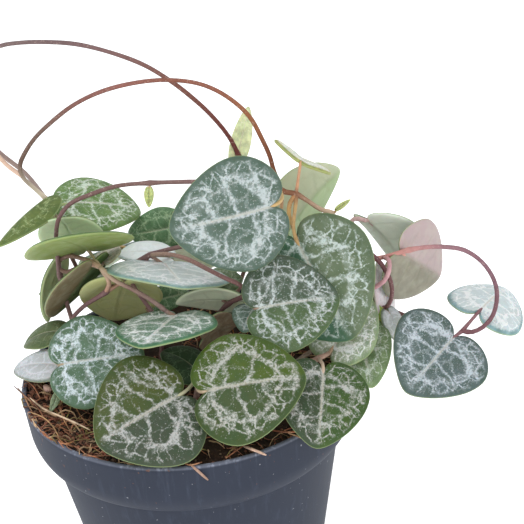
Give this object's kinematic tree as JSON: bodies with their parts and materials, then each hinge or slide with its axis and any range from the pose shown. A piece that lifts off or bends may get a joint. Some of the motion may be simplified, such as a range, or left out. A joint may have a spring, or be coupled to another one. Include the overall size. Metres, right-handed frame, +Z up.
{
  "type": "potted string of hearts plant",
  "caption": "Small potted trailing succulent: silver-marbled heart-shaped leaves on thin wiry stems over soil in a dark slate plastic nursery pot.",
  "frame": {"origin": "middle of the underside of the pot's floor, on the floor that the pot stands on", "axes": "+Z up along the pot's axis, +X to the right and -Y to the front as the plant is pictured"},
  "size_m": [0.1056, 0.0855, 0.1226],
  "materials": {
    "pot": "matt injection-moulded, slightly dusty",
    "soil": "rough, crumbly coir and peat",
    "vine": "smooth, fleshy, soft sheen"
  },
  "bodies": {
    "root": {"pot": "pot", "soil": "soil", "vine_arches": "vine", "vine_weave": "vine", "vine_middle": "vine", "vine_front": "vine", "vine_front_right": "vine", "vine_right": "vine", "vine_right_low": "vine", "vine_left": "vine", "vine_crown": "vine", "vine_back_left": "vine", "vine_back_right": "vine"}
  },
  "joints": []
}
